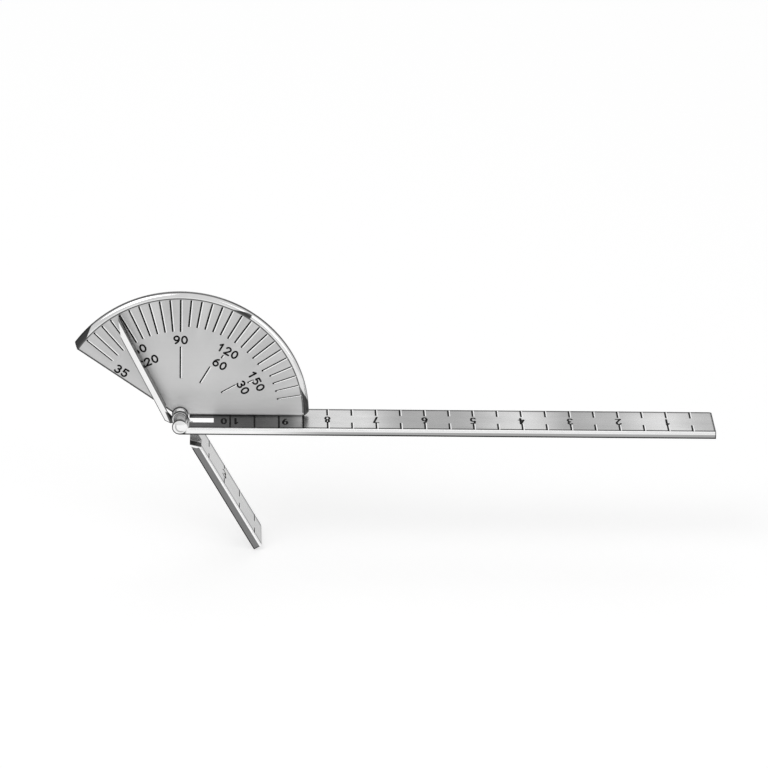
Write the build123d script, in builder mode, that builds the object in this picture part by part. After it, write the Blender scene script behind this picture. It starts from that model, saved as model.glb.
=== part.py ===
"""Finger goniometer in stainless sheet: two angle-section blades, a protractor sector and a pointer.

Millimetres, +Z up, +X along the fixed blade, +Y away from the reader. The origin is on the pivot
axis, which runs along Y, in the front face of the fixed blade's flange.
"""

from build123d import *
from math import asin, atan2, cos, degrees, radians, sin, sqrt
import os

# Sheet
SHEET = 0.5
BEND_RADIUS = 0.45
CORNER_RADIUS = 0.6

# Fixed blade
FIXED_LENGTH = 110.0
BLADE_WIDTH = 11.5
FIXED_TOP = -0.2
EYE_RADIUS = 1.6
FIXED_SHEET_START = 1.9
SLOT_END = 6.9
SLOT_FRONT = 3.4
SLOT_BACK = 7.1

# Protractor
PLATE_FRONT = 7.4
PLATE_RADIUS = 25.4
RIM_ROLL = 1.1
RIM_TRIM = 0.8
SCALE_END_ANGLE = 145.0
LEFT_MARGIN = 0.6
LOBE_RADIUS = 1.7
FOOT_START = 2.2
FOOT_END = 24.8
FOOT_DEPTH = 3.2
FOOT_RIVET_RADIUS = 0.6
FOOT_RIVET_HEAD = 0.95
FOOT_RIVET_HEIGHT = 0.3
FOOT_RIVET_INSET = 4.0

# Moving blade
FLEXION_SHOWN = 120.0
MOVING_LENGTH = 31.3
MOVING_FACE = 1.55
MOVING_FLANGE = 1.8
ARM_GAP = 0.1
WIDE_START = 6.2
FLANGE_MITRE = 0.6
BACK_SHOULDER = 5.6
NECK_END = 4.2
NECK_TOP = 2.3
NECK_BACK = 6.9
NECK_MITRE = 1.6
NECK_WAIST = 3.8
NECK_WAIST_EDGE = 0.1
EAR_RADIUS = 1.55
EAR_HALF_WIDTH = 0.9

# Pointer
POINTER_FRONT = 4.4
POINTER_SHEET = 0.45
POINTER_WIDTH = 1.35
POINTER_REACH = 25.2
POINTER_TIP_OFFSET = 0.1
POINTER_ROOT = 2.6
POINTER_ROOT_OFFSET = 1.42
POINTER_CUT = 4.0
POINTER_TIP_BEVEL = 1.2
POINTER_EYE = 1.75
POINTER_WALL_BACK = 7.0
HEEL_REACH = 0.2
HEEL_OFFSET = 2.1
ROOT_FILLET = 0.8

# Pivot stack
SHANK_RADIUS = 0.75
RUNNING_CLEARANCE = 0.05
SNUG_CLEARANCE = 0.01
SIDE_PLAY = 0.05
HEAD_RADIUS = 1.35
HEAD_HEIGHT = 0.3
SLEEVE_RADIUS = 1.3
WASHER_RADIUS = 1.45
WASHER_SHEET = 0.15
WASHER_DISH = 0.2
COLLAR_RADIUS = 1.15
COLLAR_FLANGE_RADIUS = 1.7
COLLAR_FLANGE = 0.35
BURR_RADIUS = 1.5
BURR_THICKNESS = 0.35
TAIL_RADIUS = 1.2
TAIL_HEIGHT = 0.35

os.makedirs("parts", exist_ok=True)

# Levels and holes that several pieces share
ARM_ANGLE = FLEXION_SHOWN - 180.0
FIXED_BOTTOM = FIXED_TOP - SHEET
PLATE_BACK = PLATE_FRONT + SHEET
RIM_RADIUS = PLATE_RADIUS + RIM_ROLL
FOOT_TOP = FIXED_TOP + SHEET
FOOT_BACK = PLATE_FRONT + FOOT_DEPTH
FOOT_RIVET_DEPTH = (PLATE_BACK + FOOT_BACK) / 2
FOOT_RIVET_PLACES = [
    (FOOT_START + FOOT_RIVET_INSET, FOOT_RIVET_DEPTH),
    (FOOT_END - FOOT_RIVET_INSET, FOOT_RIVET_DEPTH),
]
MOVING_FRONT = SHEET + ARM_GAP
POINTER_BACK = POINTER_FRONT + POINTER_SHEET
MOVING_EAR_BACK = POINTER_BACK + SHEET
MOVING_EDGE = MOVING_FACE - MOVING_FLANGE
WASHER_FRONT = MOVING_EAR_BACK + SIDE_PLAY
COLLAR_FRONT = WASHER_FRONT + WASHER_SHEET + WASHER_DISH
BURR_BACK = PLATE_BACK + BURR_THICKNESS
MOVING_HOLE = SHANK_RADIUS + RUNNING_CLEARANCE
FIXED_HOLE = SHANK_RADIUS + SNUG_CLEARANCE


def facing(depth, angle=0.0):
    """Plane at a depth that faces the reader, its X turned by the angle above +X."""
    turn = radians(angle)
    return Plane(origin=(0, depth, 0), x_dir=(cos(turn), 0, sin(turn)), z_dir=(0, -1, 0))


def across(distance):
    """Plane across the fixed blade: its X is the depth and its Y the height."""
    return Plane(origin=(distance, 0, 0), x_dir=(0, 1, 0), z_dir=(1, 0, 0))


def radial(angle=0.0):
    """Plane through the pivot axis: its X is the radius and its Y the depth."""
    turn = radians(angle)
    return Plane(origin=(0, 0, 0), x_dir=(cos(turn), 0, sin(turn)), z_dir=(-sin(turn), 0, cos(turn)))


def cap_radius(radius, height):
    """Radius of the ball whose cap has this base radius and height."""
    return (radius**2 + height**2) / (2 * height)


def save(piece, name):
    """Label a finished piece and write its file."""
    piece.label = name
    export_step(piece, f"parts/{name}.step")


# The moving arm's own directions: along the blade, and out of the face that lies on the finger
arm_turn = radians(ARM_ANGLE)
ARM_ALONG = Vector(cos(arm_turn), 0, sin(arm_turn))
ARM_OUT = Vector(-sin(arm_turn), 0, cos(arm_turn))
arm_face = Plane(origin=ARM_OUT * MOVING_FACE, x_dir=ARM_ALONG, z_dir=ARM_OUT)

# Fixed blade: a long strip, its front edge folded down and rounded into an eye at the pivot
with BuildPart() as fixed_blade:
    with BuildSketch(across(FIXED_SHEET_START)) as blade_section:
        with BuildLine():
            Polyline(
                (0, FIXED_TOP),
                (BLADE_WIDTH, FIXED_TOP),
                (BLADE_WIDTH, FIXED_BOTTOM),
                (SHEET, FIXED_BOTTOM),
                (SHEET, -EYE_RADIUS),
                (0, -EYE_RADIUS),
                close=True,
            )
        make_face()
    extrude(amount=FIXED_LENGTH - FIXED_SHEET_START)
    front_fold = fixed_blade.edges().filter_by(Axis.X).sort_by_distance((FIXED_LENGTH, 0, FIXED_TOP))[0]
    fillet(front_fold, BEND_RADIUS)
    with BuildSketch(facing(SHEET)):
        Circle(EYE_RADIUS)
        with Locations((FIXED_SHEET_START / 2, (FIXED_TOP - EYE_RADIUS) / 2)):
            Rectangle(FIXED_SHEET_START, EYE_RADIUS + FIXED_TOP)
        Circle(FIXED_HOLE, mode=Mode.SUBTRACT)
    extrude(amount=SHEET)
    with BuildSketch(Plane.XY.offset(FIXED_TOP)):
        with Locations(((FIXED_SHEET_START + SLOT_END) / 2, (SLOT_FRONT + SLOT_BACK) / 2)):
            Rectangle(SLOT_END - FIXED_SHEET_START, SLOT_BACK - SLOT_FRONT)
        with Locations(*FOOT_RIVET_PLACES):
            Circle(FOOT_RIVET_RADIUS + SNUG_CLEARANCE)
    extrude(amount=-SHEET, mode=Mode.SUBTRACT)
    back_corner = fixed_blade.edges().filter_by(Axis.Z).sort_by_distance((FIXED_LENGTH, BLADE_WIDTH, FIXED_TOP))[0]
    fillet(back_corner, CORNER_RADIUS)
save(fixed_blade.part, "fixed_blade")

# Protractor: a sector whose arc is rolled back into a rim and whose foot is folded onto the blade
end_turn = radians(SCALE_END_ANGLE)
end_reach = sqrt(PLATE_RADIUS**2 - LEFT_MARGIN**2)
left_corner = (
    end_reach * cos(end_turn) - LEFT_MARGIN * sin(end_turn),
    end_reach * sin(end_turn) + LEFT_MARGIN * cos(end_turn),
)
heel_reach = (FIXED_TOP - LEFT_MARGIN * cos(end_turn)) / sin(end_turn)
plate_heel = (heel_reach * cos(end_turn) - LEFT_MARGIN * sin(end_turn), FIXED_TOP)
right_corner = (sqrt(PLATE_RADIUS**2 - FIXED_TOP**2), FIXED_TOP)
rim_start = degrees(asin(FIXED_TOP / PLATE_RADIUS))
rim_end = degrees(atan2(left_corner[1], left_corner[0]))
arc_middle = radians((rim_start + rim_end) / 2)
arc_top = (PLATE_RADIUS * cos(arc_middle), PLATE_RADIUS * sin(arc_middle))

with BuildPart() as protractor_plate:
    with BuildSketch(facing(PLATE_BACK)):
        with BuildLine():
            Line(plate_heel, right_corner)
            ThreePointArc(right_corner, arc_top, left_corner)
            Line(left_corner, plate_heel)
        make_face()
        Circle(LOBE_RADIUS)
    extrude(amount=SHEET)
    with BuildSketch(radial(rim_start)):
        with BuildLine():
            Line((PLATE_RADIUS, PLATE_BACK), (PLATE_RADIUS, PLATE_FRONT))
            CenterArc((PLATE_RADIUS, PLATE_FRONT + RIM_ROLL), RIM_ROLL, -90, 90)
            Line((RIM_RADIUS, PLATE_FRONT + RIM_ROLL), (RIM_RADIUS - SHEET, PLATE_FRONT + RIM_ROLL))
            CenterArc((PLATE_RADIUS, PLATE_FRONT + RIM_ROLL), RIM_ROLL - SHEET, -90, 90)
        make_face()
    revolve(axis=Axis((0, 0, 0), (0, -1, 0)), revolution_arc=rim_end - rim_start)
    for angle, side in ((rim_start, 1), (rim_end, -1)):
        with BuildSketch(facing(PLATE_FRONT + 2 * RIM_ROLL, angle)):
            with BuildLine():
                Polyline(
                    (PLATE_RADIUS, 0),
                    (RIM_RADIUS + RIM_ROLL, 0),
                    (RIM_RADIUS + RIM_ROLL, 2 * side * RIM_TRIM),
                    close=True,
                )
            make_face()
        extrude(amount=3 * RIM_ROLL, mode=Mode.SUBTRACT)
    with BuildSketch(Plane.XY.offset(FIXED_TOP)):
        with Locations(((FOOT_START + FOOT_END) / 2, (PLATE_FRONT + FOOT_BACK) / 2)):
            Rectangle(FOOT_END - FOOT_START, FOOT_DEPTH)
    extrude(amount=SHEET)
    foot_fold = protractor_plate.edges().filter_by(Axis.X).sort_by_distance((FOOT_END, PLATE_FRONT, FIXED_TOP))[0]
    fillet(foot_fold, BEND_RADIUS)
    with BuildSketch(Plane.XY.offset(FOOT_TOP)):
        with Locations(*FOOT_RIVET_PLACES):
            Circle(FOOT_RIVET_RADIUS + SNUG_CLEARANCE)
    extrude(amount=-SHEET, mode=Mode.SUBTRACT)
    with BuildSketch(facing(PLATE_BACK)):
        Circle(FIXED_HOLE)
    extrude(amount=SHEET, mode=Mode.SUBTRACT)
save(protractor_plate.part, "protractor_plate")

# Two small rivets hold the foot down; their lower ends are flush with the blade's underside
with BuildPart() as foot_rivets:
    with BuildSketch(Plane.XY.offset(FIXED_BOTTOM)):
        with Locations(*FOOT_RIVET_PLACES):
            Circle(FOOT_RIVET_RADIUS)
    extrude(amount=FOOT_TOP - FIXED_BOTTOM)
    with BuildSketch(Plane.XY.offset(FOOT_TOP)):
        with Locations(*FOOT_RIVET_PLACES):
            Circle(FOOT_RIVET_HEAD)
    extrude(amount=FOOT_RIVET_HEIGHT)
    fillet(foot_rivets.edges().filter_by(GeomType.CIRCLE).group_by(Axis.Z)[-1], FOOT_RIVET_HEIGHT * 0.8)
save(foot_rivets.part, "foot_rivets")

# Moving blade: the wide strip and its flange, then a neck that passes through the fixed blade's slot
with BuildPart() as moving_blade:
    with BuildSketch(arm_face):
        with BuildLine():
            Polyline(
                (-EAR_HALF_WIDTH, POINTER_BACK),
                (WIDE_START, POINTER_BACK),
                (WIDE_START, MOVING_FRONT),
                (MOVING_LENGTH, MOVING_FRONT),
                (MOVING_LENGTH, BLADE_WIDTH),
                (BACK_SHOULDER, BLADE_WIDTH),
                (NECK_END, NECK_BACK),
                (NECK_TOP, NECK_BACK),
                (NECK_TOP, MOVING_EAR_BACK),
                (-EAR_HALF_WIDTH, MOVING_EAR_BACK),
                close=True,
            )
        make_face()
    extrude(amount=-SHEET)
    with BuildSketch(facing(MOVING_FRONT + SHEET, ARM_ANGLE)):
        with BuildLine():
            Polyline(
                (WIDE_START, MOVING_FACE),
                (WIDE_START - FLANGE_MITRE, MOVING_EDGE),
                (MOVING_LENGTH, MOVING_EDGE),
                (MOVING_LENGTH, MOVING_FACE),
                close=True,
            )
        make_face()
    extrude(amount=SHEET)
    with BuildSketch(facing(MOVING_EAR_BACK, ARM_ANGLE)):
        with BuildLine():
            Polyline(
                (-EAR_HALF_WIDTH, MOVING_FACE),
                (-EAR_HALF_WIDTH, 0),
                (EAR_HALF_WIDTH, -SHANK_RADIUS),
                (NECK_WAIST, NECK_WAIST_EDGE),
                (WIDE_START - NECK_MITRE, MOVING_EDGE),
                (WIDE_START, MOVING_FACE),
                close=True,
            )
        make_face()
        Circle(EAR_RADIUS)
        Circle(MOVING_HOLE, mode=Mode.SUBTRACT)
    extrude(amount=SHEET)
    arm_axis = Axis((0, 0, 0), ARM_ALONG)
    flange_corner = ARM_ALONG * MOVING_LENGTH + ARM_OUT * MOVING_FACE + Vector(0, MOVING_FRONT, 0)
    fillet(moving_blade.edges().filter_by(arm_axis).sort_by_distance(flange_corner)[0], BEND_RADIUS)
    arm_back_corner = ARM_ALONG * MOVING_LENGTH + ARM_OUT * MOVING_FACE + Vector(0, BLADE_WIDTH, 0)
    out_axis = Axis((0, 0, 0), ARM_OUT)
    fillet(moving_blade.edges().filter_by(out_axis).sort_by_distance(arm_back_corner)[0], CORNER_RADIUS)
save(moving_blade.part, "moving_blade")

# Pointer: a strip with one edge folded back as a wall, whose thin rear edge is read on the scale
pointer_tip = Vector(POINTER_REACH, POINTER_TIP_OFFSET)
pointer_root = Vector(POINTER_ROOT, POINTER_ROOT_OFFSET)
strip_along = (pointer_root - pointer_tip).normalized()
strip_side = Vector(-strip_along.Y, strip_along.X) * -1
strip_length = (pointer_root - pointer_tip).length


def on_strip(along, side):
    """Point on the pointer's strip, from its tip along the read edge and then sideways."""
    point = pointer_tip + strip_along * along + strip_side * side
    return (point.X, point.Y)


with BuildPart() as pointer:
    with BuildSketch(facing(POINTER_BACK, FLEXION_SHOWN)) as pointer_face:
        with BuildLine():
            Polyline(
                on_strip(0, 0),
                on_strip(strip_length, 0),
                (POINTER_EYE * 0.6, POINTER_EYE * 0.6),
                (-HEEL_REACH, 0),
                (HEEL_REACH, HEEL_OFFSET),
                on_strip(strip_length + POINTER_WIDTH, POINTER_WIDTH),
                on_strip(POINTER_CUT, POINTER_WIDTH),
                close=True,
            )
        make_face()
        Circle(POINTER_EYE)
        fillet(pointer_face.vertices().sort_by_distance(pointer_root)[0], ROOT_FILLET)
        Circle(MOVING_HOLE, mode=Mode.SUBTRACT)
    extrude(amount=POINTER_SHEET)
    with BuildSketch(facing(POINTER_WALL_BACK, FLEXION_SHOWN)):
        with BuildLine():
            Polyline(
                on_strip(0, 0),
                on_strip(strip_length - ROOT_FILLET, 0),
                on_strip(strip_length - ROOT_FILLET, POINTER_SHEET),
                on_strip(POINTER_TIP_BEVEL, POINTER_SHEET),
                close=True,
            )
        make_face()
    extrude(amount=POINTER_WALL_BACK - POINTER_FRONT)
save(pointer.part, "pointer")

# Pivot rivet: domed head in front of the fixed eye, shank through the stack, tail behind the burr
with BuildPart() as pivot_rivet:
    with BuildSketch(radial()):
        with BuildLine():
            RadiusArc((0, -HEAD_HEIGHT), (HEAD_RADIUS, 0), -cap_radius(HEAD_RADIUS, HEAD_HEIGHT))
            Polyline((HEAD_RADIUS, 0), (SHANK_RADIUS, 0), (SHANK_RADIUS, BURR_BACK), (TAIL_RADIUS, BURR_BACK))
            RadiusArc((TAIL_RADIUS, BURR_BACK), (0, BURR_BACK + TAIL_HEIGHT), -cap_radius(TAIL_RADIUS, TAIL_HEIGHT))
            Line((0, BURR_BACK + TAIL_HEIGHT), (0, -HEAD_HEIGHT))
        make_face()
    revolve(axis=Axis.Y)
save(pivot_rivet.part, "pivot_rivet")


def ring(name, front, back, outer, hole):
    """Plain ring on the pivot axis between two depths."""
    with BuildPart() as body:
        with BuildSketch(facing(back)):
            Circle(outer)
            Circle(hole, mode=Mode.SUBTRACT)
        extrude(amount=back - front)
    save(body.part, name)


ring("front_sleeve", SHEET, POINTER_FRONT - SIDE_PLAY, SLEEVE_RADIUS, FIXED_HOLE)
ring("rear_burr", PLATE_BACK, BURR_BACK, BURR_RADIUS, FIXED_HOLE)

# Dished washer: its outer edge rubs on the moving ear and gives the pivot its drag
with BuildPart() as spring_washer:
    with BuildSketch(radial()):
        with BuildLine():
            Polyline(
                (WASHER_RADIUS, WASHER_FRONT),
                (WASHER_RADIUS, WASHER_FRONT + WASHER_SHEET),
                (FIXED_HOLE, COLLAR_FRONT),
                (FIXED_HOLE, COLLAR_FRONT - WASHER_SHEET),
                close=True,
            )
        make_face()
    revolve(axis=Axis.Y)
save(spring_washer.part, "spring_washer")

# Collar that spaces the moving arm from the protractor, its flange against the plate
with BuildPart() as plate_collar:
    with BuildSketch(facing(PLATE_FRONT)):
        Circle(COLLAR_RADIUS)
    extrude(amount=PLATE_FRONT - COLLAR_FRONT)
    with BuildSketch(facing(PLATE_FRONT)):
        Circle(COLLAR_FLANGE_RADIUS)
    extrude(amount=COLLAR_FLANGE)
    with BuildSketch(facing(PLATE_FRONT)):
        Circle(FIXED_HOLE)
    extrude(amount=PLATE_FRONT - COLLAR_FRONT, mode=Mode.SUBTRACT)
save(plate_collar.part, "plate_collar")
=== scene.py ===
"""Studio scene of a stainless steel finger goniometer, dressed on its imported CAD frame.

Metres, +Z up, +X along the fixed blade, +Y away from the reader, origin on the pivot axis. The CAD
pieces keep their shape and get procedural steel. The stamped scales and the step at the short
blade's neck are new pieces that lie on them. Sizes in the classes are millimetres.
"""

import logging
import math
from dataclasses import dataclass, field
from enum import Enum

import bmesh
import bpy
import numpy as np
from mathutils import Matrix, Vector


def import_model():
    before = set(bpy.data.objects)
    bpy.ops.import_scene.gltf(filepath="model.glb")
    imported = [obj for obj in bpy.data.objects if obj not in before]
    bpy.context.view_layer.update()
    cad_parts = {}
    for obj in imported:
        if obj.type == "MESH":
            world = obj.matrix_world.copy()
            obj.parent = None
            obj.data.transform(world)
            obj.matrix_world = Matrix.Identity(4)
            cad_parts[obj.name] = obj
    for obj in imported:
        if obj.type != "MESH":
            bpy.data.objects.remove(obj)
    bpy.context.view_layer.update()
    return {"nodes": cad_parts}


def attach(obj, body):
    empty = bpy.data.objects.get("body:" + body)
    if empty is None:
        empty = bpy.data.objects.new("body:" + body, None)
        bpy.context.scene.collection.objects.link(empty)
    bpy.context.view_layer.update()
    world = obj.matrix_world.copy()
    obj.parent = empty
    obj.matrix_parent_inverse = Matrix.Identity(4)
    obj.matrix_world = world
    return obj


LOG = logging.getLogger("goniometer")
MM = 0.001
WHITE = (1.0, 1.0, 1.0)
# Height in metres that a bump's full strength stands for
BUMP_HEIGHT = 0.00002
# Roughness of a surface that was polished, not brushed
POLISHED = 0.12

Pair = tuple[float, float]
Triple = tuple[float, float, float]
Stops = tuple[Pair, ...]


class Body(Enum):
    """The two bodies that pieces ride on."""

    FIXED = "fixed_arm"
    MOVING = "moving_arm"


class Slot(Enum):
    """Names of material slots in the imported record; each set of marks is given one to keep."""

    PAINT = "scale_paint"
    STEEL = "polished_steel"
    SATIN = "satin_steel"


# Shader tools


class Tone:
    """One shader output that ordinary arithmetic can be written with."""

    def __init__(self, graph: "Graph", output: bpy.types.NodeSocket) -> None:
        """Keep the graph and the output that later nodes read."""
        self.graph = graph
        self.output = output

    def maths(self, operation: str, *values: "Tone | float") -> "Tone":
        """Add a Math node.

        Args:
            operation: the node's operation.
            values: its inputs, in order.

        Returns:
            The result.
        """
        return self.graph.node("ShaderNodeMath", {"operation": operation}, dict(enumerate(values)))

    def __add__(self, other: "Tone | float") -> "Tone":
        """Sum."""
        return self.maths("ADD", self, other)

    def __radd__(self, other: float) -> "Tone":
        """Sum with the number first."""
        return self.maths("ADD", other, self)

    def __sub__(self, other: "Tone | float") -> "Tone":
        """Difference."""
        return self.maths("SUBTRACT", self, other)

    def __rsub__(self, other: float) -> "Tone":
        """Difference with the number first."""
        return self.maths("SUBTRACT", other, self)

    def __mul__(self, other: "Tone | float") -> "Tone":
        """Product."""
        return self.maths("MULTIPLY", self, other)

    def __rmul__(self, other: float) -> "Tone":
        """Product with the number first."""
        return self.maths("MULTIPLY", other, self)

    def __truediv__(self, other: "Tone | float") -> "Tone":
        """Quotient."""
        return self.maths("DIVIDE", self, other)

    def root(self) -> "Tone":
        """Square root."""
        return self.maths("SQRT", self)

    def turn_to(self, other: "Tone") -> "Tone":
        """Angle in degrees of the point whose height is this and whose reach is the other."""
        return self.maths("ARCTAN2", self, other) * (180.0 / math.pi)

    def top(self, other: "Tone | float") -> "Tone":
        """The larger of the two."""
        return self.maths("MAXIMUM", self, other)

    def low(self, other: "Tone | float") -> "Tone":
        """The smaller of the two."""
        return self.maths("MINIMUM", self, other)

    def step(self, start: float, end: float) -> "Tone":
        """Soft step from 0 at start to 1 at end; start may be the larger."""
        rising = start < end
        marks = {1: start, 2: end} if rising else {1: end, 2: start}
        ends = {3: 0.0, 4: 1.0} if rising else {3: 1.0, 4: 0.0}
        settings = {"interpolation_type": "SMOOTHSTEP", "clamp": True}
        return self.graph.node("ShaderNodeMapRange", settings, {0: self, **marks, **ends})

    def shade(self, start: float, end: float, depth: float) -> "Tone":
        """Factor that falls from 1 at start to 1 less the depth at end."""
        return 1.0 - depth * self.step(start, end)

    def between(self, start: float, end: float, soft: float) -> "Tone":
        """1 inside the span and 0 outside it, with soft borders."""
        return self.step(start - soft, start + soft) * self.step(end + soft, end - soft)


class Graph:
    """One material's node tree."""

    def __init__(self, name: str) -> None:
        """Start an empty material with an output node."""
        self.material = bpy.data.materials.new(name)
        self.material.use_nodes = True
        self.tree = self.material.node_tree
        self.tree.nodes.clear()
        self.end = self.tree.nodes.new("ShaderNodeOutputMaterial")

    def node(
        self,
        kind: str,
        settings: dict[str, object] | None = None,
        inputs: "dict[int | str, object] | None" = None,
        output: int | str = 0,
    ) -> Tone:
        """Add any node.

        Args:
            kind: the node's type.
            settings: its own properties, set first; "stops" holds a ramp's positions and greys.
            inputs: its sockets' values or links, by number or identifier.
            output: which output to return, by number or identifier.

        Returns:
            The chosen output.
        """
        made = self.tree.nodes.new(kind)
        for name, value in (settings or {}).items():
            if name == "stops":
                self.set_stops(made, value)
            else:
                setattr(made, name, value)
        for key, value in (inputs or {}).items():
            socket = self.find(made.inputs, key)
            if isinstance(value, Tone):
                self.tree.links.new(value.output, socket)
            else:
                socket.default_value = value
        return Tone(self, self.find(made.outputs, output))

    @staticmethod
    def find(sockets: object, key: int | str) -> bpy.types.NodeSocket:
        """The socket with this number, identifier or name."""
        if isinstance(key, int):
            return sockets[key]
        for socket in sockets:
            if socket.identifier == key:
                return socket
        return sockets[key]

    @staticmethod
    def set_stops(made: bpy.types.Node, stops: Stops) -> None:
        """Give a ramp its stops, each a position and a grey."""
        ramp = made.color_ramp
        while len(ramp.elements) < len(stops):
            ramp.elements.new(1.0)
        for element, (place, grey) in zip(ramp.elements, stops):
            element.position = place
            element.color = (grey, grey, grey, 1.0)

    def shader(self, kind: str, inputs: dict[int | str, object]) -> Tone:
        """Add a shader node."""
        return self.node(kind, None, inputs)

    def finish(self, surface: Tone) -> bpy.types.Material:
        """Join the surface to the output and return the material."""
        self.tree.links.new(surface.output, self.end.inputs["Surface"])
        return self.material

    def place(self, turn: float = 0.0, stretch: Triple = (1.0, 1.0, 1.0)) -> Tone:
        """Object coordinates, turned about Y in degrees and stretched."""
        where = self.node("ShaderNodeTexCoord", None, None, "Object")
        turned = self.node(
            "ShaderNodeMapping", None, {"Vector": where, "Rotation": (0.0, math.radians(turn), 0.0)}
        )
        return self.node("ShaderNodeMapping", None, {"Vector": turned, "Scale": stretch})

    def axes(self, turn: float = 0.0) -> tuple[Tone, Tone, Tone]:
        """The three Object coordinates in millimetres, turned about Y in degrees."""
        apart = self.node("ShaderNodeSeparateXYZ", None, {0: self.place(turn, (1000.0,) * 3)})
        tree = apart.output.node
        return tuple(Tone(self, tree.outputs[i]) for i in range(3))

    def noise(self, where: Tone, scale: float, detail: float = 3.0, roughness: float = 0.5) -> Tone:
        """Noise around one half."""
        inputs = {"Vector": where, "Scale": scale, "Detail": detail, "Roughness": roughness}
        return self.node("ShaderNodeTexNoise", None, inputs, "Fac")

    def ramp(self, value: Tone, stops: Stops) -> Tone:
        """Grey of a value through a ramp that eases from stop to stop."""
        made = self.node("ShaderNodeValToRGB", {"stops": stops}, {0: value})
        made.output.node.color_ramp.interpolation = "EASE"
        return made

    def blend(self, share: Tone, first: "Tone | float", second: "Tone | float") -> Tone:
        """First where the share is 0 and second where it is 1, for plain numbers."""
        return self.node("ShaderNodeMix", {"data_type": "FLOAT"}, {0: share, 2: first, 3: second})

    def colour(self, grey: Tone) -> Tone:
        """A grey as a colour: white multiplied by it."""
        settings = {"data_type": "RGBA", "blend_type": "MULTIPLY"}
        inputs = {"Factor_Float": 1.0, "A_Color": grey, "B_Color": (*WHITE, 1.0)}
        return self.node("ShaderNodeMix", settings, inputs, "Result_Color")


# Finishes


@dataclass(frozen=True)
class SteelFinish:
    """How one steel surface is worked.

    The grain runs along the piece: noise that is long one way and fine across, which varies the
    roughness and lifts the surface by a few micrometres.
    """

    roughness: float = 0.3
    grain_depth: float = 0.25
    grain_turn: float = 0.0
    grain_length: float = 40.0
    grain_width: float = 3600.0

    def dress(
        self,
        graph: Graph,
        tone: "Tone | float",
        polish: Tone | None = None,
        metal: "Tone | float" = 1.0,
    ) -> bpy.types.Material:
        """Make the material.

        Args:
            graph: the material's graph.
            tone: the steel's grey, already varied.
            polish: 1 where the surface is polished and 0 where it is satin.
            metal: how much it mirrors, 1 for bright steel and less where it is frosted.

        Returns:
            The finished material.
        """
        stretch = (self.grain_length, self.grain_width, self.grain_width)
        grain = graph.noise(graph.place(self.grain_turn, stretch), 1.0, 4.0, 0.6)
        cloud = graph.noise(graph.place(), 180.0, 4.0, 0.6)
        fine = graph.noise(graph.place(), 2600.0, 2.0, 0.5)
        grey = tone * (0.95 + 0.06 * grain + 0.04 * cloud)
        rough = self.roughness + 0.12 * (grain - 0.5) + 0.1 * (cloud - 0.5)
        if polish is not None:
            rough = graph.blend(polish, rough, POLISHED)
        height = grain * 0.8 + fine * 0.4
        lift = graph.node(
            "ShaderNodeBump",
            None,
            {"Strength": self.grain_depth, "Distance": BUMP_HEIGHT, "Height": height},
        )
        steel = graph.shader(
            "ShaderNodeBsdfPrincipled",
            {
                "Base Color": graph.colour(grey.top(0.0)),
                "Metallic": metal,
                "Roughness": rough.top(0.05),
                "Normal": lift,
            },
        )
        return graph.finish(steel)


@dataclass(frozen=True)
class PaintFinish:
    """Black paint rubbed into stamped marks, worn thin in places."""

    dark: float = 0.012
    worn: float = 0.05
    roughness: float = 0.7
    sheen: float = 0.05

    def dress(self, graph: Graph) -> bpy.types.Material:
        """Make the material: dark grey where noise says that the paint is thin."""
        wear = graph.noise(graph.place(), 900.0, 4.0, 0.65).step(0.52, 0.75)
        fine = graph.noise(graph.place(), 9000.0, 2.0)
        lift = graph.node(
            "ShaderNodeBump", None, {"Strength": 0.3, "Distance": BUMP_HEIGHT, "Height": fine}
        )
        paint = graph.shader(
            "ShaderNodeBsdfPrincipled",
            {
                "Base Color": graph.colour(graph.blend(wear, self.dark, self.worn)),
                "Roughness": self.roughness + 0.2 * wear,
                "Specular IOR Level": self.sheen,
                "Normal": lift,
            },
        )
        return graph.finish(paint)


# Marks that lie on the steel

ARC_POINTS = 5
ARC_STEP = 14.0
# Shares of the half width at which a stroke's round ends have a section
CAP_REACH = np.array([0.97, 0.75, 0.4])


@dataclass(frozen=True)
class Sheet:
    """A flat face that marks are stamped on, with its own two directions and the way out of it."""

    origin: Triple
    along: Triple
    up: Triple
    out: Triple

    def lift(self, flat: np.ndarray, height: np.ndarray) -> np.ndarray:
        """Points in metres: origin plus along, up and out times each point's own numbers in mm."""
        base = np.array(self.origin)
        across = flat[:, :1] * np.array(self.along) + flat[:, 1:2] * np.array(self.up)
        return (base + across + height[:, None] * np.array(self.out)) * MM


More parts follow.
